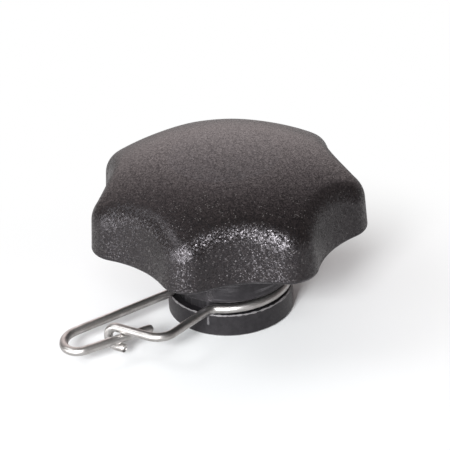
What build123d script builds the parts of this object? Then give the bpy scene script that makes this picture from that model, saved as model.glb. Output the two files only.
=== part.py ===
from build123d import *
from math import asin, atan, atan2, cos, degrees, hypot, pi, radians, sin, sqrt, tan
import os

os.makedirs("parts", exist_ok=True)

# Moulded head, mm and degrees. The hub's seat is z = 0 and the axis is +Z.
head_d = 63.0           # over the lobe tips
knob_h = 39.4           # seat to crown
rim_z = 20.8            # lower rim of the head
lobes = 7
lobe_tip_r = 6.7        # round of a lobe in plan
valley_depth = 4.45     # scallop's depth below the lobe tips
first_lobe = -90.0      # one lobe tip lies on -Y
draft = 3.8             # mould draft of the side walls
crown_r = 85.0          # flat crown of the dome
crown_edge_r = 14.0     # where the crown turns into the fall
fall_r = 38.0           # rounder fall of the dome to its edge
shoulder_r = 5.7        # round between dome and side wall
rim_round = 0.7
wall_t = 3.0            # hollow underside
roof_t = 3.6
rib_t = 2.4
rib_setback = 1.5       # ribs stand this far above the rim
pocket_round = 1.2

# Turned hub with the clip's groove
hub_d = 28.4
hub_chamfer = 0.5
flange_t = 5.6          # flange under the groove
groove_w = 3.2
groove_core_d = 24.4
groove_chamfer = 0.3

# Threaded insert, moulded into the hub
insert_d = 17.0
insert_len = 20.0
insert_waist_d = 15.4
insert_waist_len = 4.0
knurl_teeth = 28
knurl_depth = 0.5
bore_d = 10.2           # tapping bore of the M12 thread
bore_depth = 18.0

# Wire clip: plan positions are in its own plane, the tail points along -X
wire_d = 2.0
ring_play = 0.2         # ring to groove core, radially
groove_play = 0.04      # tilted ring to groove walls
cross_play = 0.1        # strip above the tongue it crosses
ring_bend_run = 1.8     # corner to tangent point where a leg leaves the ring
far_leg_y = 2.9
tail_x = -42.65         # corner of the tail's first bend
tail_end = (-44.7, -4.7)  # corner of the tail's second bend
tongue_deg = -6.3       # heading of the returning tongue
tongue_tip_x = -24.6
near_leg_deg = 218.8    # where the near leg's corner stands round the ring
elbow = (-27.05, -15.3)
elbow_run = 3.64
strip_deg = 115.9       # heading of the strip across the tongue
hook_past = 1.7         # strip's straight run past the tongue's centreline
hook_lean = 12.4
hook_tip = 1.0          # cut end's run back past the tongue


def polar(radius, angle):
    return Vector(radius * cos(radians(angle)), radius * sin(radians(angle)))


tip_centre_r = head_d / 2 - lobe_tip_r
valley_r = head_d / 2 - valley_depth
half_pitch = 180 / lobes
tip_reach = tip_centre_r * cos(radians(half_pitch))
# scallop radius that meets the lobe rounds tangentially
scallop_r = (lobe_tip_r**2 - tip_centre_r**2 - valley_r**2 + 2 * valley_r * tip_reach) / (
    2 * (valley_r - tip_reach - lobe_tip_r)
)
groove_top = flange_t + groove_w
ring_r = groove_core_d / 2 + ring_play + wire_d / 2
clip_z = flange_t + groove_w / 2
clip_tilt = degrees(asin(max(0.0, groove_w / 2 - wire_d / 2 - groove_play) / (hub_d / 2)))
lift = wire_d + cross_play
hook_r = wire_d + 2 * cross_play


def star(inset=0.0):
    """Lobed plan outline as a face, inset from the head's own outline."""
    tip_r = lobe_tip_r - inset
    edges = []
    for k in range(lobes):
        lobe = first_lobe + 2 * half_pitch * k
        tip, after = polar(tip_centre_r, lobe), polar(tip_centre_r, lobe + 2 * half_pitch)
        before_c = polar(valley_r + scallop_r, lobe - half_pitch)
        after_c = polar(valley_r + scallop_r, lobe + half_pitch)
        start = tip + (before_c - tip).normalized() * tip_r
        end = tip + (after_c - tip).normalized() * tip_r
        onward = after + (after_c - after).normalized() * tip_r
        edges.append(ThreePointArc(start, polar(tip_centre_r + tip_r, lobe), end))
        edges.append(ThreePointArc(end, polar(valley_r - inset, lobe + half_pitch), onward))
    return make_face(edges)


def dome(top):
    """Block of revolution under the domed top, reaching past the lobe tips."""
    turn = asin(crown_edge_r / crown_r)
    fall_x = (crown_r - fall_r) * sin(turn)
    fall_z = top - crown_r + (crown_r - fall_r) * cos(turn)
    last = asin((head_d / 2 + 2 - fall_x) / fall_r)

    def on_crown(angle):
        return (crown_r * sin(angle), top - crown_r + crown_r * cos(angle))

    def on_fall(angle):
        return (fall_x + fall_r * sin(angle), fall_z + fall_r * cos(angle))

    crown = ThreePointArc((0, top), on_crown(turn / 2), on_crown(turn))
    fall = ThreePointArc(on_crown(turn), on_fall((turn + last) / 2), on_fall(last))
    sides = Polyline(on_fall(last), (on_fall(last)[0], 0), (0, 0), (0, top))
    return revolve(Plane.XZ * make_face([crown, fall] + sides.edges()), Axis.Z)


def drafted(inset, base):
    """Drafted star prism standing on the height base."""
    return Pos(0, 0, base) * extrude(star(inset), amount=knob_h - base + 2, taper=draft)


def head():
    block = drafted(0, rim_z) & dome(knob_h)
    shoulder = block.edges().filter_by(
        lambda e: e.center().Z > rim_z + 4
        and hypot(e.center().X, e.center().Y) > 0.9 * valley_r
        and abs(e.tangent_at(0.5).Z) < 0.8
    )
    block = fillet(shoulder, shoulder_r)
    return fillet(block.edges().group_by(Axis.Z)[0], rim_round)


def pocket():
    """One hollow between two ribs, centred on a lobe."""
    base = rim_z + rib_setback
    hollow = drafted(wall_t, base) & dome(knob_h - roof_t)
    hollow -= Cylinder(hub_d / 2, 3 * knob_h)
    side = rib_t / 2 / sin(radians(half_pitch))
    far = 2 * head_d
    sector = make_face(
        Polyline(polar(side, 0), polar(side, 0) + polar(far, half_pitch),
                 polar(side, 0) + polar(far, -half_pitch), polar(side, 0)).edges()
    )
    hollow &= Rot(0, 0, first_lobe) * extrude(sector, amount=3 * knob_h)
    upper = hollow.edges().filter_by(lambda e: e.center().Z > base + 0.5)
    return fillet(upper, pocket_round)


def hub():
    outer, core = hub_d / 2, groove_core_d / 2
    profile = Polyline(
        (0, 0), (outer - hub_chamfer, 0), (outer, hub_chamfer),
        (outer, flange_t - groove_chamfer), (outer - groove_chamfer, flange_t), (core, flange_t),
        (core, groove_top), (outer - groove_chamfer, groove_top),
        (outer, groove_top + groove_chamfer), (outer, rim_z + rib_setback), (0, rim_z + rib_setback),
        (0, 0),
    )
    return revolve(Plane.XZ * make_face(profile.edges()), Axis.Z)


def insert_blank():
    """Outer form of the insert: a toothed bush with a plain waist."""
    ring = []
    for k in range(knurl_teeth):
        ring.append(polar(insert_d / 2, 360 * k / knurl_teeth))
        ring.append(polar(insert_d / 2 - knurl_depth, 360 * (k + 0.5) / knurl_teeth))
    bush = extrude(make_face(Polyline(*ring, ring[0]).edges()), amount=insert_len)
    band = Cylinder(insert_d, insert_waist_len) - Cylinder(insert_waist_d / 2, insert_waist_len)
    return bush - Pos(0, 0, insert_len / 2) * band


def threaded_insert():
    bore = Cylinder(bore_d / 2, bore_depth, align=(Align.CENTER, Align.CENTER, Align.MIN))
    return insert_blank() - bore


def knob_body():
    recess = extrude(star(wall_t) - Circle(hub_d / 2), amount=rib_setback)
    body = head() + hub() - Pos(0, 0, rim_z) * recess
    hollow = pocket()
    for k in range(lobes):
        body -= Rot(0, 0, 2 * half_pitch * k) * hollow
    return (body - insert_blank()).solid()


def corner(before, at, after, run):
    """Arc of a bend at a corner, tangent to both straights at the distance run."""
    back, on = (before - at).normalized(), (after - at).normalized()
    start, end = at + back * run, at + on * run
    inward = (back + on).normalized()
    half = radians(back.get_angle(on)) / 2
    radius = run * tan(half)
    return ThreePointArc(start, at + inward * (run / cos(half) - radius), end)


def wire_clip():
    plan = lambda x, y, up=0.0: Vector(x, y, up)
    corner_r = hypot(ring_r, ring_bend_run)
    bend_deg = degrees(atan(ring_bend_run / ring_r))
    far_corner = plan(-sqrt(corner_r**2 - far_leg_y**2), far_leg_y)
    near_corner = polar(corner_r, near_leg_deg)
    ring_start = near_leg_deg + bend_deg
    ring_end = degrees(atan2(far_corner.Y, far_corner.X)) - bend_deg + 360

    tail_a, tail_b = plan(tail_x, far_leg_y), plan(*tail_end)
    half_tail = (tail_b - tail_a).length / 2
    along = polar(1, tongue_deg)
    tongue_start = tail_b + along * half_tail
    tongue_tip = tail_b + along * ((tongue_tip_x - tail_b.X) / along.X)

    bend = plan(*elbow, lift)
    ahead = polar(1, strip_deg)
    gap = tail_b - bend
    crossing = (gap.X * along.Y - gap.Y * along.X) / (ahead.X * along.Y - ahead.Y * along.X)
    strip_end = bend + ahead * (crossing + hook_past)
    lean = radians(hook_lean)
    down = Vector(0, 0, -cos(lean)) + polar(sin(lean), strip_deg + 90)
    under = strip_end + down * (2 * hook_r)
    cut_end = under - ahead * (hook_past + hook_tip)

    ring_from, ring_to = polar(ring_r, ring_start), polar(ring_r, ring_end)
    pieces = [
        Line(tongue_tip, tongue_start),
        corner(tongue_tip, tail_b, tail_a, half_tail),
        corner(tail_b, tail_a, far_corner, half_tail),
        Line(tail_a + plan(half_tail, 0), far_corner - plan(ring_bend_run, 0)),
        corner(tail_a, far_corner, ring_to, ring_bend_run),
        ThreePointArc(ring_to, polar(ring_r, (ring_start + ring_end) / 2), ring_from),
        corner(ring_from, near_corner, bend, ring_bend_run),
        Line(near_corner + (bend - near_corner).normalized() * ring_bend_run,
             bend + (near_corner - bend).normalized() * elbow_run),
        corner(near_corner, bend, strip_end, elbow_run),
        Line(bend + ahead * elbow_run, strip_end),
        ThreePointArc(strip_end, (strip_end + under) * 0.5 + ahead * hook_r, under),
        Line(under, cut_end),
    ]
    path = Wire([piece.edge() for piece in pieces])
    section = Plane(origin=tongue_tip, z_dir=along) * Circle(wire_d / 2)
    wire = sweep(section, path=path)
    return Pos(0, 0, clip_z) * Rot(0, -clip_tilt, 0) * wire


for name, solid in (
    ("knob_body", knob_body()), ("threaded_insert", threaded_insert()), ("wire_clip", wire_clip())
):
    export_step(solid, f"parts/{name}.step")
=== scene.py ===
import math

import bmesh
import bpy
from mathutils import Matrix, Vector


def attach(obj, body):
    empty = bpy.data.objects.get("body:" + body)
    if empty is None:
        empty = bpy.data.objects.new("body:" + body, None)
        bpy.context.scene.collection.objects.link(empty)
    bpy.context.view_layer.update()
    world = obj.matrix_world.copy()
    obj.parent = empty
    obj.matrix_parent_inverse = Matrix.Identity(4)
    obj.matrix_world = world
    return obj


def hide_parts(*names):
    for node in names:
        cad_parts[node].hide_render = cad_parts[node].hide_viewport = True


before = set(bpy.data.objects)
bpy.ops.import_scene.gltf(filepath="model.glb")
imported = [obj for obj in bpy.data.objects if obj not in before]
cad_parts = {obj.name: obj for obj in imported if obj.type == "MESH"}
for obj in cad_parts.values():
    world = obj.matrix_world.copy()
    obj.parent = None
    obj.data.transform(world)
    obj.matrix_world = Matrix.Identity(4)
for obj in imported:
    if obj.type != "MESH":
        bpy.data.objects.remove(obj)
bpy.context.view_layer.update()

MM = 0.001
knob_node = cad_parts["knob_body"]

# Sizes in millimetres and degrees, as in the part's source.
rim_z = 20.8
hub_d, flange_t, groove_w, groove_core_d = 28.4, 5.6, 3.2, 24.4
groove_top = flange_t + groove_w
insert_d, insert_len, insert_waist_d, insert_waist_len = 17.0, 20.0, 15.4, 4.0
knurl_teeth, knurl_depth = 28, 0.5
bore_d, bore_depth = 10.2, 18.0
thread_d, thread_pitch = 12.0, 1.75
wire_d, ring_play, groove_play, cross_play = 2.0, 0.2, 0.04, 0.1
ring_bend_run, far_leg_y, near_leg_deg = 1.8, 2.9, 218.8
tail_x, tail_end = -42.65, (-44.7, -4.7)
tongue_deg, tongue_tip_x = -6.3, -24.6
elbow, elbow_run = (-27.05, -15.3), 3.64
strip_deg, hook_past, hook_lean, hook_tip = 115.9, 1.7, 12.4, 1.0

# Finish in the scene alone. The part's source ends the wire square and the hook half a millimetre further on.
tip_round, cut_edge, hook_short, cut_lean = 0.9, 0.10, 0.5, -0.45
wire_sides, thread_rows_per_turn, insert_chamfer, mouth_cut = 32, 14, 0.12, 0.45
root_half, flank_run = 0.125, 0.3125  # shares of the thread's pitch
runout_depth, runout_run = 2.2, 0.6
crown_low, crown_high = 30.0, 34.0
mark_angle, mark_low, mark_high = 217.5, 3.0, 5.3

camera_azimuth, camera_elevation, camera_roll = -31.0, 29.6, -2.945
camera_distance, camera_lens = 556.1, 198.5
camera_target = (-0.346, 0.385, 20.647)


def polar(radius, angle):
    return Vector((radius * math.cos(math.radians(angle)), radius * math.sin(math.radians(angle)), 0.0))


# ---------------------------------------------------------------- node helpers

def place(tree, kind, inputs=None, **settings):
    """Add a node; inputs maps a socket's name or number to a value or to another socket."""
    node = tree.nodes.new(kind)
    for name, value in settings.items():
        setattr(node, name, value)
    for key, value in (inputs or {}).items():
        if isinstance(value, bpy.types.NodeSocket):
            tree.links.new(value, node.inputs[key])
        else:
            node.inputs[key].default_value = value
    return node


def math_of(tree, operation, a, b=0.0, c=0.0, clamp=False):
    node = place(tree, "ShaderNodeMath", {0: a, 1: b, 2: c}, operation=operation, use_clamp=clamp)
    return node.outputs[0]


def product(tree, *factors):
    result = factors[0]
    for factor in factors[1:]:
        result = math_of(tree, "MULTIPLY", result, factor)
    return result


def vector_of(tree, operation, a, b=(0.0, 0.0, 0.0)):
    return place(tree, "ShaderNodeVectorMath", {0: a, 1: b}, operation=operation).outputs[0]


def parts_of(tree, vector):
    return place(tree, "ShaderNodeSeparateXYZ", {0: vector}).outputs


def vector_from(tree, x, y, z=0.0):
    return place(tree, "ShaderNodeCombineXYZ", {0: x, 1: y, 2: z}).outputs[0]


def length_of(tree, vector):
    return place(tree, "ShaderNodeVectorMath", {0: vector}, operation="LENGTH").outputs["Value"]


def measured_along(tree, vector, direction):
    node = place(tree, "ShaderNodeVectorMath", {0: vector, 1: direction}, operation="DOT_PRODUCT")
    return node.outputs["Value"]


def distance_from_axis(tree, position):
    axis = parts_of(tree, position)
    return length_of(tree, vector_from(tree, axis[0], axis[1]))


def noise(tree, position, scale, detail, roughness=0.5):
    return place(tree, "ShaderNodeTexNoise", {"Vector": position, "Scale": scale, "Detail": detail,
                                              "Roughness": roughness}).outputs


def ramp(tree, value, low, high, to_low=0.0, to_high=1.0, kind="SMOOTHSTEP"):
    node = place(tree, "ShaderNodeMapRange", {0: value, 1: low, 2: high, 3: to_low, 4: to_high},
                 interpolation_type=kind)
    return node.outputs[0]


def mix_colour(tree, factor, a, b, blend="MIX"):
    node = place(tree, "ShaderNodeMix", {0: factor, 6: a, 7: b}, data_type="RGBA", blend_type=blend)
    return node.outputs[2]


def shared_group(name, inputs, outputs):
    """Empty shader node group with named inputs (name, kind, default) and outputs (name, kind)."""
    group = bpy.data.node_groups.new(name, "ShaderNodeTree")
    for label, kind, default in inputs:
        socket = group.interface.new_socket(label, in_out="INPUT", socket_type=kind)
        if default is not None:
            socket.default_value = default
    for label, kind in outputs:
        group.interface.new_socket(label, in_out="OUTPUT", socket_type=kind)
    return group, group.nodes.new("NodeGroupInput").outputs, group.nodes.new("NodeGroupOutput").inputs


def use_group(tree, group, inputs):
    node = tree.nodes.new("ShaderNodeGroup")
    node.node_tree = group
    for key, value in inputs.items():
        if isinstance(value, bpy.types.NodeSocket):
            tree.links.new(value, node.inputs[key])
        else:
            node.inputs[key].default_value = value
    return node.outputs


FLOAT, VECTOR, COLOUR = "NodeSocketFloat", "NodeSocketVector", "NodeSocketColor"


# ---------------------------------------------------------------- shared effects

def build_eroded_grain():
    """Texture of a spark-eroded mould: small facets tilted every way, each a little lighter or darker."""
    group, use, give = shared_group(
        "eroded_grain",
        [("Position", VECTOR, None), ("Normal", VECTOR, None), ("Grain", FLOAT, 0.42),
         ("Tilt", FLOAT, 0.4), ("Fleck share", FLOAT, 0.04)],
        [("Normal", VECTOR), ("Shade", FLOAT), ("Flecks", FLOAT)],
    )
    middle_grey = (0.5, 0.5, 0.5)
    per_mm = math_of(group, "DIVIDE", 1.0, use["Grain"])
    facets = place(group, "ShaderNodeTexVoronoi", {"Vector": use["Position"], "Scale": per_mm}).outputs
    swell = noise(group, use["Position"], product(group, per_mm, 1.4), 1.0)
    lean = vector_of(group, "ADD", vector_of(group, "SUBTRACT", facets["Color"], middle_grey),
                     vector_of(group, "SUBTRACT", swell["Color"], middle_grey))
    scaled = place(group, "ShaderNodeVectorMath", {0: lean, "Scale": use["Tilt"]}, operation="SCALE").outputs[0]
    tilted = vector_of(group, "NORMALIZE", vector_of(group, "ADD", use["Normal"], scaled))
    group.links.new(tilted, give["Normal"])
    lots = place(group, "ShaderNodeSeparateColor", {0: facets["Color"]}).outputs
    shade = product(group, math_of(group, "ADD", lots[1], swell[0]), 0.5)
    group.links.new(shade, give["Shade"])
    chosen = math_of(group, "LESS_THAN", lots[0], use["Fleck share"])
    middle = ramp(group, facets["Distance"], 0.25, 0.6, 1.0, 0.0)
    group.links.new(product(group, chosen, middle), give["Flecks"])
    return group


def build_turning_lines():
    """Fine tool lines round the axis, on cylinders and on faces across the axis alike."""
    group, use, give = shared_group(
        "turning_lines",
        [("Position", VECTOR, None), ("Lines per mm", FLOAT, 6.0), ("Round", FLOAT, 0.12)],
        [("Height", FLOAT), ("Radius", FLOAT)],
    )
    axis = parts_of(group, use["Position"])
    radius = distance_from_axis(group, use["Position"])
    across = product(group, math_of(group, "ADD", axis[2], radius), use["Lines per mm"])
    along_x, along_y = (product(group, axis[k], use["Round"]) for k in (0, 1))
    path = vector_from(group, along_x, along_y, across)
    group.links.new(noise(group, path, 1.0, 4.0, 0.65)[0], give["Height"])
    group.links.new(radius, give["Radius"])
    return group


def build_clouding():
    """Slow change between two colours at the size given."""
    group, use, give = shared_group(
        "clouding",
        [("Position", VECTOR, None), ("Size", FLOAT, 8.0), ("Dark", COLOUR, None), ("Light", COLOUR, None)],
        [("Color", COLOUR), ("Amount", FLOAT)],
    )
    per_mm = math_of(group, "DIVIDE", 1.0, use["Size"])
    amount = ramp(group, noise(group, use["Position"], per_mm, 4.0, 0.6)[0], 0.3, 0.7)
    group.links.new(mix_colour(group, amount, use["Dark"], use["Light"]), give["Color"])
    group.links.new(amount, give["Amount"])
    return group


def build_edge_rub_and_sheen():
    """Band along a circular edge at a given radius and height, for rubbed wear and for painted edge highlights.
    """
    group, use, give = shared_group(
        "edge_rub_and_sheen",
        [("Position", VECTOR, None), ("Radius", FLOAT, 14.0), ("Height", FLOAT, 0.0), ("Width", FLOAT, 0.4)],
        [("Mask", FLOAT)],
    )
    off_r = math_of(group, "SUBTRACT", distance_from_axis(group, use["Position"]), use["Radius"])
    off_z = math_of(group, "SUBTRACT", parts_of(group, use["Position"])[2], use["Height"])
    squares = math_of(group, "ADD", product(group, off_r, off_r), product(group, off_z, off_z))
    broken = noise(group, use["Position"], 0.9, 5.0)[0]
    reach = product(group, use["Width"], ramp(group, broken, 0.35, 0.65, 0.35, 1.0))
    near = math_of(group, "DIVIDE", math_of(group, "SQRT", squares), reach)
    group.links.new(ramp(group, near, 0.5, 1.0, 1.0, 0.0), give["Mask"])
    return group


def build_hair_scratches():
    """Sparse short hair lines, drawn along the third axis of the position given."""
    group, use, give = shared_group(
        "hair_scratches",
        [("Position", VECTOR, None), ("Across", FLOAT, 2.0), ("Along", FLOAT, 0.12), ("Share", FLOAT, 0.3)],
        [("Mask", FLOAT)],
    )
    axis = parts_of(group, use["Position"])
    stretched = vector_from(group, product(group, axis[0], use["Across"]), product(group, axis[1], use["Across"]),
                            product(group, axis[2], use["Along"]))
    lines = noise(group, stretched, 1.0, 6.0, 0.7)[0]
    level = math_of(group, "SUBTRACT", 1.0, product(group, use["Share"], 0.5))
    upper = math_of(group, "ADD", product(group, level, 0.5), 0.25)
    mask = math_of(group, "MULTIPLY", math_of(group, "SUBTRACT", lines, upper), 8.0, clamp=True)
    group.links.new(mask, give["Mask"])
    return group


eroded_grain = build_eroded_grain()
turning_lines = build_turning_lines()
clouding = build_clouding()
edge_rub_and_sheen = build_edge_rub_and_sheen()
hair_scratches = build_hair_scratches()


# ---------------------------------------------------------------- materials

def new_material(name):
    material = bpy.data.materials.new(name)
    material.use_nodes = True
    tree = material.node_tree
    tree.nodes.clear()
    shader = tree.nodes.new("ShaderNodeBsdfPrincipled")
    output = tree.nodes.new("ShaderNodeOutputMaterial")
    tree.links.new(shader.outputs[0], output.inputs[0])
    return material, tree, shader


def object_mm(tree):
    """Object coordinates in millimetres."""
    coordinates = tree.nodes.new("ShaderNodeTexCoord").outputs["Object"]
    node = place(tree, "ShaderNodeVectorMath", {0: coordinates}, operation="SCALE")
    node.inputs["Scale"].default_value = 1 / MM
    return node.outputs[0]


def hub_turning(tree, position, height, on_head):
    """Light arcs that the turning tool left in patches above the groove."""
    arcs = use_group(tree, turning_lines, {"Position": position, "Lines per mm": 1.5, "Round": 0.09})["Height"]
    patch = noise(tree, position, 0.16, 1.0)[0]
    above = ramp(tree, height, groove_top + 0.4, groove_top + 0.9)
    off_head = math_of(tree, "SUBTRACT", 1.0, on_head)
    where = product(tree, above, ramp(tree, patch, 0.42, 0.58), off_head)
    return product(tree, ramp(tree, arcs, 0.50, 0.72), where)


def flange_light_mark(tree, position, angle, low, high):
    """Short light mark down the flange at one angle round the axis."""
    outward = measured_along(tree, position, polar(1.0, angle))
    sideways = measured_along(tree, position, polar(1.0, angle + 90))
    height = parts_of(tree, position)[2]
    ragged = noise(tree, position, 2.2, 3.0)[0]
    offset = math_of(tree, "ABSOLUTE", math_of(tree, "ADD", sideways, product(tree, ragged, 0.3)))
    narrow = ramp(tree, offset, 0.12, 0.34, 1.0, 0.0)
    span = product(tree, ramp(tree, height, low - 0.3, low + 0.2), ramp(tree, height, high - 0.2, high, 1.0, 0.0))
    here = product(tree, narrow, span, ramp(tree, outward, 12.0, 13.0))
    return product(tree, here, ramp(tree, ragged, 0.35, 0.55, 0.35, 1.0))


def edge_highlights_and_rubs(tree, position):
    """Painted highlights, with some rubbing, on the flange's top edge, on its foot and on the groove's upper
    edge.
    """
    edges = (  # radius, height, width
        (hub_d / 2 - 0.12, flange_t - 0.12, 0.34),
        (hub_d / 2 - 0.2, 0.2, 0.40),
        (hub_d / 2 - 0.1, groove_top + 0.1, 0.22),
    )
    top, foot, groove = (use_group(tree, edge_rub_and_sheen, {"Position": position, "Radius": radius, "Height": height,
                                                    "Width": width})["Mask"] for radius, height, width in edges)
    return math_of(tree, "MAXIMUM", math_of(tree, "MAXIMUM", top, foot), groove)


def black_colour(tree, position, height, on_head, in_groove, grain):
    """Clouded base, mottled on the head, with painted shade in the groove, the hub's turning, chatter, a light
    mark on the flange and painted edge highlights with some rubbing laid over it.
    """
    head = use_group(tree, clouding, {"Position": position, "Size": 14.0, "Dark": (0.0033, 0.0028, 0.0028, 1),
                                      "Light": (0.0050, 0.0041, 0.0040, 1)})["Color"]
    hub = use_group(tree, clouding, {"Position": position, "Size": 1.3, "Dark": (0.0040, 0.0038, 0.0044, 1),
                                     "Light": (0.0110, 0.0104, 0.0116, 1)})["Color"]
    mottle = mix_colour(tree, ramp(tree, grain["Shade"], 0.3, 0.7), (0.001, 0.0008, 0.0008, 1),
                        (0.011, 0.0088, 0.0086, 1))
    mottle = mix_colour(tree, grain["Flecks"], mottle, (0.09, 0.085, 0.084, 1))
    chatter = use_group(tree, hair_scratches, {"Position": position, "Across": 1.7, "Along": 0.06,
                                               "Share": 0.95})["Mask"]
    layers = (
        (product(tree, on_head, 0.75), mottle),
        # painted shade: the groove's recess is darkened in the colour
        (product(tree, in_groove, 0.8), (0.004, 0.004, 0.0045, 1)),
        (hub_turning(tree, position, height, on_head), (0.060, 0.058, 0.062, 1)),
        (product(tree, chatter, in_groove), (0.030, 0.029, 0.031, 1)),
        # short light mark on the flange, drawn in the colour
        (flange_light_mark(tree, position, mark_angle, mark_low, mark_high), (0.110, 0.107, 0.112, 1)),
        # painted edge highlights, with some rubbing, on the flange's edges and the groove's upper edge
        (product(tree, edge_highlights_and_rubs(tree, position), 0.85), (0.17, 0.165, 0.17, 1)),
    )
    colour = mix_colour(tree, on_head, hub, head)
    for where, layer in layers:
        colour = mix_colour(tree, where, colour, layer)
    return colour


def moulded_black():
    """Black moulded polymer: eroded texture on the head, turned hub, smooth lower rim."""
    material, tree, shader = new_material("moulded_black")
    position = object_mm(tree)
    height = parts_of(tree, position)[2]
    lines = use_group(tree, turning_lines, {"Position": position, "Lines per mm": 5.0})
    radius = lines["Radius"]
    beyond_hub = ramp(tree, radius, hub_d / 2 + 0.05, hub_d / 2 + 0.6)
    above_rim = ramp(tree, height, rim_z + 0.45, rim_z + 1.0)
    crown = ramp(tree, height, crown_low, crown_high)
    on_head = product(tree, above_rim, math_of(tree, "MAXIMUM", beyond_hub, crown))
    in_groove = product(tree, ramp(tree, radius, groove_core_d / 2 + 0.1, groove_core_d / 2 + 0.5, 1.0, 0.0),
                        ramp(tree, height, 3.0, flange_t))
    facing = tree.nodes.new("ShaderNodeNewGeometry").outputs["Normal"]
    upward = parts_of(tree, facing)[2]
    coarse = math_of(tree, "ADD", product(tree, on_head, 0.85), 0.15)
    tilt = product(tree, coarse, ramp(tree, upward, 0.50, 0.86, 0.46, 0.19))
    grain = use_group(tree, eroded_grain, {"Position": position, "Normal": facing, "Grain": 0.28, "Tilt": tilt,
                                           "Fleck share": 0.05})
    colour = black_colour(tree, position, height, on_head, in_groove, grain)
    tree.links.new(colour, shader.inputs["Base Color"])

    rough_head = ramp(tree, grain["Shade"], 0.2, 0.8, 0.40, 0.28, "LINEAR")
    rough_hub = ramp(tree, lines["Height"], 0.3, 0.7, 0.34, 0.46, "LINEAR")
    rough = place(tree, "ShaderNodeMix", {0: on_head, 2: rough_hub, 3: rough_head}, data_type="FLOAT").outputs[0]
    rough = math_of(tree, "SUBTRACT", rough, product(tree, grain["Flecks"], 0.12))
    tree.links.new(rough, shader.inputs["Roughness"])

    off_head = math_of(tree, "SUBTRACT", 1.0, on_head)
    line_bump = place(tree, "ShaderNodeBump", {"Strength": 0.5, "Distance": 0.00002,
                                                "Height": product(tree, lines["Height"], off_head),
                                                "Normal": grain["Normal"]})
    tree.links.new(line_bump.outputs[0], shader.inputs["Normal"])
    shader.inputs["IOR"].default_value = 1.5
    shader.inputs["Specular Tint"].default_value = (0.975, 0.93, 1.0, 1)
    return material


def drawn_steel():
    """Stainless spring wire: drawing lines along its run, dull patches and die marks."""
    material, tree, shader = new_material("drawn_steel")
    run = place(tree, "ShaderNodeAttribute", attribute_name="wire_run").outputs["Fac"]
    around = place(tree, "ShaderNodeAttribute", attribute_name="wire_round").outputs["Vector"]
    side = parts_of(tree, around)
    run_mm = product(tree, run, 1 / MM)
    wrapped = place(tree, "ShaderNodeCombineXYZ", {0: side[0], 1: side[1], 2: run_mm}).outputs[0]
    scratches = use_group(tree, hair_scratches, {"Position": wrapped, "Across": 9.0, "Along": 0.35, "Share": 0.5})
    patches = use_group(tree, clouding, {"Position": wrapped, "Size": 2.4,
                                       "Dark": (0.39, 0.375, 0.365, 1), "Light": (0.57, 0.56, 0.55, 1)})
    colour = mix_colour(tree, product(tree, scratches["Mask"], 0.35), patches["Color"], (0.30, 0.285, 0.28, 1))
    tree.links.new(colour, shader.inputs["Base Color"])
    rough = ramp(tree, patches["Amount"], 0.0, 1.0, 0.42, 0.34, "LINEAR")
    rough = math_of(tree, "ADD", rough, product(tree, scratches["Mask"], 0.12))
    tree.links.new(rough, shader.inputs["Roughness"])
    fine = noise(tree, vector_of(tree, "MULTIPLY", wrapped, (14.0, 14.0, 0.5)), 1.0, 3.0)[0]
    bump = place(tree, "ShaderNodeBump", {"Strength": 0.35, "Distance": 0.00001, "Height": fine})
    tree.links.new(bump.outputs[0], shader.inputs["Normal"])
    shader.inputs["Metallic"].default_value = 1.0
    return material


def turned_brass():
    """Machined brass of the insert: face turned in fine rings, rubbed a little brighter round the thread's mouth.
    """
    material, tree, shader = new_material("turned_brass")
    position = object_mm(tree)
    lines = use_group(tree, turning_lines, {"Position": position, "Lines per mm": 7.0, "Round": 0.2})
    tone = use_group(tree, clouding, {"Position": position, "Size": 3.0,
                                    "Dark": (0.53, 0.36, 0.15, 1), "Light": (0.72, 0.52, 0.25, 1)})
    tarnish = ramp(tree, lines["Height"], 0.42, 0.7, 0.0, 0.35)
    dull = mix_colour(tree, tarnish, tone["Color"], (0.30, 0.20, 0.09, 1))
    rub = use_group(tree, edge_rub_and_sheen, {"Position": position, "Radius": thread_d / 2 + mouth_cut,
                                    "Height": 0.0, "Width": 0.35})
    tree.links.new(mix_colour(tree, product(tree, rub["Mask"], 0.6), dull, (0.85, 0.68, 0.40, 1)),
                   shader.inputs["Base Color"])
    tree.links.new(ramp(tree, lines["Height"], 0.3, 0.7, 0.24, 0.40, "LINEAR"), shader.inputs["Roughness"])
    bump = place(tree, "ShaderNodeBump", {"Strength": 0.5, "Distance": 0.00002, "Height": lines["Height"]})
    tree.links.new(bump.outputs[0], shader.inputs["Normal"])
    shader.inputs["Metallic"].default_value = 1.0
    return material


black = moulded_black()
steel = drawn_steel()
brass = turned_brass()


# ---------------------------------------------------------------- safety clip

def arc_points(centre, start, axis, turn, step=math.radians(5)):
    """Points of an arc that begins at start and turns about axis."""
    count = max(4, math.ceil(abs(turn) / step))
    return [centre + Matrix.Rotation(turn * k / count, 3, axis) @ (start - centre) for k in range(count + 1)]


def bend(before, at, after, run):
    """Arc of a bend at a corner, tangent to both straights at the distance run."""
    back, on = (before - at).normalized(), (after - at).normalized()
    half = back.angle(on) / 2
    inward = (back + on).normalized()
    centre = at + inward * (run / math.cos(half))
    axis = (-back).cross(on).normalized()
    return arc_points(centre, at + back * run, axis, math.pi - 2 * half)


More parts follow.
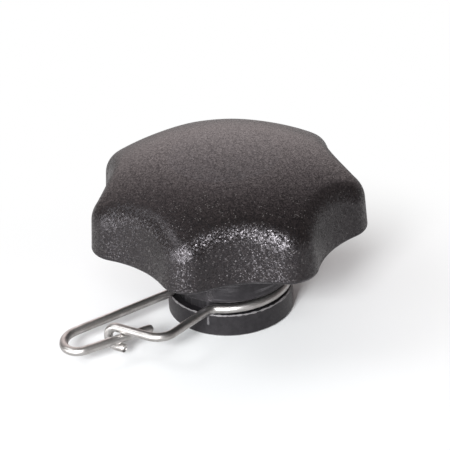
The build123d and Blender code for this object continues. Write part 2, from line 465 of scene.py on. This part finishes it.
def clip_route():
    """Centreline of the wire in millimetres, from the tongue's tip to the hook's cut end."""
    ring_r = groove_core_d / 2 + ring_play + wire_d / 2
    corner_r = math.hypot(ring_r, ring_bend_run)
    bend_deg = math.degrees(math.atan(ring_bend_run / ring_r))
    lift, hook_r = wire_d + cross_play, wire_d + 2 * cross_play
    far_corner = Vector((-math.sqrt(corner_r**2 - far_leg_y**2), far_leg_y, 0))
    near_corner = polar(corner_r, near_leg_deg)
    ring_start = near_leg_deg + bend_deg
    ring_end = math.degrees(math.atan2(far_corner.y, far_corner.x)) - bend_deg + 360
    tail_a, tail_b = Vector((tail_x, far_leg_y, 0)), Vector((*tail_end, 0))
    half_tail = (tail_b - tail_a).length / 2
    along, ahead = polar(1, tongue_deg), polar(1, strip_deg)
    tongue_tip = tail_b + along * ((tongue_tip_x - tail_b.x) / along.x)
    elbow_at = Vector((*elbow, lift))
    gap = tail_b - elbow_at
    crossing = (gap.x * along.y - gap.y * along.x) / (ahead.x * along.y - ahead.y * along.x)
    strip_end = elbow_at + ahead * (crossing + hook_past)
    lean = math.radians(hook_lean)
    down = Vector((0, 0, -math.cos(lean))) + polar(math.sin(lean), strip_deg + 90)
    under = strip_end + down * (2 * hook_r)
    ring_to, ring_from = polar(ring_r, ring_end), polar(ring_r, ring_start)
    route = [tongue_tip]
    route += bend(tongue_tip, tail_b, tail_a, half_tail)
    route += bend(tail_b, tail_a, far_corner, half_tail)[1:]
    route += bend(tail_a, far_corner, ring_to, ring_bend_run)
    route += arc_points(Vector(), ring_to, Vector((0, 0, -1)), math.radians(ring_end - ring_start),
                        math.radians(3))[1:]
    route += bend(ring_from, near_corner, elbow_at, ring_bend_run)[1:]
    route += bend(near_corner, elbow_at, strip_end, elbow_run)
    route += arc_points(strip_end + down * hook_r, strip_end, ahead.cross(down), math.pi)
    route += [under - ahead * (hook_past + hook_tip - hook_short)]
    tilt = math.asin((groove_w / 2 - wire_d / 2 - groove_play) / (hub_d / 2))
    seat = Matrix.Translation((0, 0, flange_t + groove_w / 2)) @ Matrix.Rotation(-tilt, 4, "Y")
    return [seat @ point for point in route]


def wire_tree():
    """Wire drawn along a route: round section, a rounded tip at the start and a cut end with a small broken edge.
    """
    tree = bpy.data.node_groups.new("drawn_wire", "GeometryNodeTree")
    face = tree.interface
    face.new_socket("Route", in_out="INPUT", socket_type="NodeSocketGeometry")
    for label, kind, default in (("Wire diameter", "NodeSocketFloat", wire_d * MM),
                                 ("Sides", "NodeSocketInt", wire_sides),
                                 ("Cut edge", "NodeSocketFloat", cut_edge * MM),
                                 ("Rounded tip", "NodeSocketFloat", tip_round * MM),
                                 ("Finish", "NodeSocketMaterial", None)):
        socket = face.new_socket(label, in_out="INPUT", socket_type=kind)
        if default is not None:
            socket.default_value = default
    face.new_socket("Wire", in_out="OUTPUT", socket_type="NodeSocketGeometry")
    use, give = tree.nodes.new("NodeGroupInput").outputs, tree.nodes.new("NodeGroupOutput").inputs

    route = place(tree, "GeometryNodeMeshToCurve", {0: use["Route"]}).outputs[0]
    run = place(tree, "GeometryNodeSplineParameter").outputs["Length"]
    whole = place(tree, "GeometryNodeSplineLength").outputs["Length"]
    inside = math_of(tree, "DIVIDE", math_of(tree, "SUBTRACT", whole, run), use["Cut edge"], clamp=True)
    cut = math_of(tree, "ADD", 0.90, product(tree, inside, 0.10))
    short = math_of(tree, "SUBTRACT", 1.0, math_of(tree, "DIVIDE", run, use["Rounded tip"], clamp=True))
    dome = math_of(tree, "SQRT", math_of(tree, "SUBTRACT", 1.0, product(tree, short, short, 0.94)))
    scale = math_of(tree, "MINIMUM", cut, dome)
    kept = tree.nodes.new("GeometryNodeCaptureAttribute")
    kept.capture_items.new("FLOAT", "Run")
    kept.capture_items.new("FLOAT", "Scale")
    tree.links.new(route, kept.inputs[0])
    tree.links.new(run, kept.inputs["Run"])
    tree.links.new(scale, kept.inputs["Scale"])

    radius = product(tree, use["Wire diameter"], 0.5)
    circle = place(tree, "GeometryNodeCurvePrimitiveCircle", {"Resolution": use["Sides"],
                                                              "Radius": radius}).outputs[0]
    turn = product(tree, place(tree, "GeometryNodeSplineParameter").outputs["Factor"], 2 * math.pi)
    around = vector_from(tree, math_of(tree, "COSINE", turn), math_of(tree, "SINE", turn))
    section = tree.nodes.new("GeometryNodeCaptureAttribute")
    section.capture_items.new("VECTOR", "Round")
    tree.links.new(circle, section.inputs[0])
    tree.links.new(around, section.inputs["Round"])

    swept = place(tree, "GeometryNodeCurveToMesh", {
        "Curve": kept.outputs[0], "Profile Curve": section.outputs[0], "Scale": kept.outputs["Scale"],
        "Fill Caps": True}).outputs[0]
    named = place(tree, "GeometryNodeStoreNamedAttribute", {
        "Geometry": swept, "Name": "wire_run", "Value": kept.outputs["Run"]}, data_type="FLOAT").outputs[0]
    named = place(tree, "GeometryNodeStoreNamedAttribute", {"Geometry": named, "Name": "wire_round"},
                  data_type="FLOAT_VECTOR")
    tree.links.new(section.outputs["Round"], named.inputs["Value"])
    solid = place(tree, "GeometryNodeRealizeInstances", {0: named.outputs[0]}).outputs[0]
    finished = place(tree, "GeometryNodeSetMaterial", {"Geometry": solid, "Material": use["Finish"]}).outputs[0]
    tree.links.new(finished, give[0])
    return tree


def input_id(tree, label):
    return next(item.identifier for item in tree.interface.items_tree
                if item.name == label and item.in_out == "INPUT")


def baked(name, source, tree, values):
    """Run a geometry tree on a source object and keep its result as a plain mesh object."""
    modifier = source.modifiers.new("tree", "NODES")
    modifier.node_group = tree
    for label, value in values.items():
        modifier[input_id(tree, label)] = value
    bpy.context.view_layer.update()
    mesh = bpy.data.meshes.new_from_object(source.evaluated_get(bpy.context.evaluated_depsgraph_get()))
    source.modifiers.remove(modifier)
    bpy.data.objects.remove(source)
    piece = bpy.data.objects.new(name, mesh)
    bpy.context.scene.collection.objects.link(piece)
    return piece


def with_end_rings(points, tip_length, setback):
    """Add points where the rounded tongue tip and the broken edge of the hook's cut are shaped."""
    on = (points[1] - points[0]).normalized()
    tip = [points[0] + on * tip_length * share for share in (0.05, 0.15, 0.3, 0.5, 0.75, 1.0)]
    last = points[-1] + (points[-2] - points[-1]).normalized() * setback
    return [points[0]] + tip + points[1:-1] + [last, points[-1]]


def cut_aslant(piece, end, along, lean):
    """Lean the hook's end face over, as side cutters leave it."""
    down = Vector((0, 0, -1))
    for vertex in piece.data.vertices:
        offset = vertex.co - end
        if abs(offset.dot(along)) < 1e-6 and offset.length < 1.2 * MM:
            vertex.co += along * lean * offset.dot(down)


def make_wire_clip():
    points = with_end_rings([p * MM for p in clip_route()], tip_round * MM, cut_edge * MM)
    mesh = bpy.data.meshes.new("clip_route")
    mesh.from_pydata(points, [(k, k + 1) for k in range(len(points) - 1)], [])
    source = bpy.data.objects.new("clip_route", mesh)
    bpy.context.scene.collection.objects.link(source)
    piece = baked("safety_clip_wire", source, wire_tree(), {
        "Wire diameter": wire_d * MM, "Sides": wire_sides, "Cut edge": cut_edge * MM,
        "Rounded tip": tip_round * MM, "Finish": steel})
    cut_aslant(piece, points[-1], (points[-1] - points[-2]).normalized(), cut_lean)
    piece.data.shade_smooth()
    piece.data.set_sharp_from_angle(angle=math.radians(40))
    return piece


# ---------------------------------------------------------------- threaded insert

def thread_radius(height, angle):
    """Radius of the internal thread's wall, with a countersunk mouth."""
    minor, major = bore_d / 2, thread_d / 2
    phase = (height / thread_pitch - angle / (2 * math.pi)) % 1.0
    rise = min(1.0, max(0.0, (abs(phase - 0.5) - root_half) / flank_run))
    wall = major + (minor - major) * rise
    runout = max(0.0, (height - (bore_depth - runout_depth)) / runout_run)
    wall = max(minor, wall - (major - minor) * runout)
    return max(wall, major + mouth_cut - height)


def make_threaded_insert():
    sides = 4 * knurl_teeth
    rows = []
    steps = int(bore_depth / (thread_pitch / thread_rows_per_turn))
    for k in range(steps, -1, -1):
        z = bore_depth * k / steps
        rows.append([polar(thread_radius(z, 2 * math.pi * j / sides), 360 * j / sides) + Vector((0, 0, z))
                     for j in range(sides)])

    def ring(radius, z, toothed):
        points = []
        for j in range(sides):
            depth = knurl_depth * (1 - abs((j % 4) - 2) / 2) if toothed else 0.0
            points.append(polar(radius - depth, 360 * j / sides) + Vector((0, 0, z)))
        return points

    waist_low, waist_high = (insert_len - insert_waist_len) / 2, (insert_len + insert_waist_len) / 2
    rows += [ring(insert_d / 2 - insert_chamfer, 0.0, True), ring(insert_d / 2, insert_chamfer, True),
             ring(insert_d / 2, waist_low, True),
             ring(insert_waist_d / 2, waist_low, False), ring(insert_waist_d / 2, waist_high, False),
             ring(insert_d / 2, waist_high, True), ring(insert_d / 2, insert_len, True)]
    shape = bmesh.new()
    grid = [[shape.verts.new(point * MM) for point in row] for row in rows]
    for lower, upper in zip(grid, grid[1:]):
        for j in range(sides):
            shape.faces.new((lower[j], lower[(j + 1) % sides], upper[(j + 1) % sides], upper[j]))
    shape.faces.new(grid[0])
    shape.faces.new(list(reversed(grid[-1])))
    bmesh.ops.recalc_face_normals(shape, faces=shape.faces)
    mesh = bpy.data.meshes.new("threaded_bush")
    shape.to_mesh(mesh)
    shape.free()
    mesh.materials.append(brass)
    piece = bpy.data.objects.new("threaded_bush", mesh)
    bpy.context.scene.collection.objects.link(piece)
    mesh.shade_smooth()
    mesh.set_sharp_from_angle(angle=math.radians(32))
    return piece


knob_node.data.materials[0] = black
knob_node.material_slots[0].material = black

clip_wire = make_wire_clip()
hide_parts("wire_clip")
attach(clip_wire, "clip")

bush = make_threaded_insert()
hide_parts("threaded_insert")
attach(bush, "knob")


# ---------------------------------------------------------------- floor, light and camera

floor_half, floor_drop = 2.0, 0.00004
floor_lit, floor_seen = (0.50, 0.50, 0.50, 1), (0.72, 0.735, 0.745, 1)
fade_forward, fade_start, fade_end = 0.016, 0.025, 0.085
mirrored_glow = 0.06
backdrop_colour, backdrop_narrowing = (1.0, 0.885, 0.87, 1), 6.0
surround_level, backdrop_level, upper_backdrop_level, right_wall_level = 0.03, 1.36, 0.84, 0.20
lamp_distance, lamp_aim = 0.70, Vector((0, 0, 0.02))
# Together the lamps are about twice a plain level on the camera's side, and the black is written darker to suit.
lamps = (  # name, azimuth, elevation, width, height, radiance
    ("low_softbox", -152, 8, 0.30, 0.20, 15.5),
    ("front_softbox", -172, 8, 0.30, 0.20, 6.5),
    ("left_softbox", -112, 8, 0.30, 0.20, 9.0),
    ("front_lamp", -161, 29, 0.17, 0.17, 74.0),
    ("high_front_lamp", -178, 42, 0.16, 0.16, 12.0),
    ("high_left_softbox", -92, 48, 0.26, 0.26, 4.5),
)


def toward(azimuth, elevation):
    """Direction seen from the camera's side: 0 is away from it, 90 to its right, 180 towards it."""
    a, e = math.radians(azimuth - camera_azimuth), math.radians(elevation)
    return Vector((math.sin(a) * math.cos(e), math.cos(a) * math.cos(e), math.sin(e)))


def make_floor():
    """Pale floor that keeps the shadow near the knob, and fades to white further out."""
    mesh = bpy.data.meshes.new("floor")
    corners = ((-1, -1), (1, -1), (1, 1), (-1, 1))
    mesh.from_pydata([(x * floor_half, y * floor_half, -floor_drop) for x, y in corners], [], [(0, 1, 2, 3)])
    floor = bpy.data.objects.new("floor", mesh)
    bpy.context.scene.collection.objects.link(floor)
    material = bpy.data.materials.new("floor_white")
    material.use_nodes = True
    tree = material.node_tree
    tree.nodes.clear()
    rays = tree.nodes.new("ShaderNodeLightPath").outputs
    seen = math_of(tree, "MAXIMUM", rays["Is Camera Ray"], rays["Is Transmission Ray"])
    lit = place(tree, "ShaderNodeBsdfDiffuse", {0: mix_colour(tree, seen, floor_lit, floor_seen)})
    level = product(tree, rays["Is Glossy Ray"], mirrored_glow)
    glow = place(tree, "ShaderNodeEmission", {0: (1, 1, 1, 1), 1: level})
    both = place(tree, "ShaderNodeAddShader", {0: lit.outputs[0], 1: glow.outputs[0]})
    white = place(tree, "ShaderNodeEmission", {0: (1, 1, 1, 1), 1: 1.0})
    coordinates = tree.nodes.new("ShaderNodeTexCoord").outputs["Object"]
    far = length_of(tree, vector_of(tree, "SUBTRACT", coordinates, toward(180, 0) * fade_forward))
    outer = product(tree, ramp(tree, far, fade_start, fade_end), seen)
    top = place(tree, "ShaderNodeMixShader", {0: outer, 1: both.outputs[0], 2: white.outputs[0]})
    below = tree.nodes.new("ShaderNodeNewGeometry").outputs["Backfacing"]
    clear = place(tree, "ShaderNodeBsdfTransparent")
    whole = place(tree, "ShaderNodeMixShader", {0: below, 1: top.outputs[0], 2: clear.outputs[0]})
    output = tree.nodes.new("ShaderNodeOutputMaterial")
    tree.links.new(whole.outputs[0], output.inputs[0])
    mesh.materials.append(material)


def area_light(name, azimuth, elevation, width, height, radiance):
    data = bpy.data.lights.new(name, "AREA")
    data.shape = "RECTANGLE"
    data.size, data.size_y = width, height
    data.energy = radiance * math.pi * width * height
    lamp = bpy.data.objects.new(name, data)
    direction = toward(azimuth, elevation)
    lamp.location = lamp_aim + direction * lamp_distance
    lamp.rotation_euler = direction.to_track_quat("Z", "Y").to_euler()
    bpy.context.scene.collection.objects.link(lamp)


def make_world():
    """Studio surround: white to the eye, a lit backdrop behind the knob and dimmer walls elsewhere."""
    world = bpy.data.worlds.new("studio")
    bpy.context.scene.world = world
    world.use_nodes = True
    tree = world.node_tree
    tree.nodes.clear()
    direction = tree.nodes.new("ShaderNodeTexCoord").outputs["Generated"]
    surround = surround_level
    for azimuth, elevation, level in ((0, 6, backdrop_level), (0, 38, upper_backdrop_level),
                                      (90, 6, right_wall_level)):
        off = math_of(tree, "SUBTRACT", measured_along(tree, direction, toward(azimuth, elevation)), 1.0)
        glow = math_of(tree, "EXPONENT", product(tree, off, backdrop_narrowing))
        surround = math_of(tree, "ADD", surround, product(tree, glow, level))
    seen = tree.nodes.new("ShaderNodeLightPath").outputs["Is Camera Ray"]
    level = place(tree, "ShaderNodeMix", {0: seen, 2: surround, 3: 1.0}, data_type="FLOAT").outputs[0]
    tint = mix_colour(tree, seen, backdrop_colour, (1, 1, 1, 1))
    shade = place(tree, "ShaderNodeBackground", {0: tint, 1: level})
    output = tree.nodes.new("ShaderNodeOutputWorld")
    tree.links.new(shade.outputs[0], output.inputs[0])


def make_camera():
    data = bpy.data.cameras.new("camera")
    data.lens, data.sensor_width = camera_lens, 36.0
    data.clip_start, data.clip_end = 0.01, 20.0
    camera = bpy.data.objects.new("camera", data)
    a, e = math.radians(camera_azimuth), math.radians(camera_elevation)
    back = Vector((math.sin(a) * math.cos(e), -math.cos(a) * math.cos(e), math.sin(e)))
    right = (-back).cross(Vector((0, 0, 1))).normalized()
    up = right.cross(-back)
    roll = math.radians(camera_roll)
    right, up = math.cos(roll) * right + math.sin(roll) * up, math.cos(roll) * up - math.sin(roll) * right
    turn = Matrix((right, up, back)).transposed().to_4x4()
    camera.matrix_world = Matrix.Translation((Vector(camera_target) + back * camera_distance) * MM) @ turn
    bpy.context.scene.collection.objects.link(camera)
    bpy.context.scene.camera = camera


make_floor()
make_world()
for lamp in lamps:
    area_light(*lamp)
make_camera()
bpy.context.scene.view_settings.view_transform = "Standard"
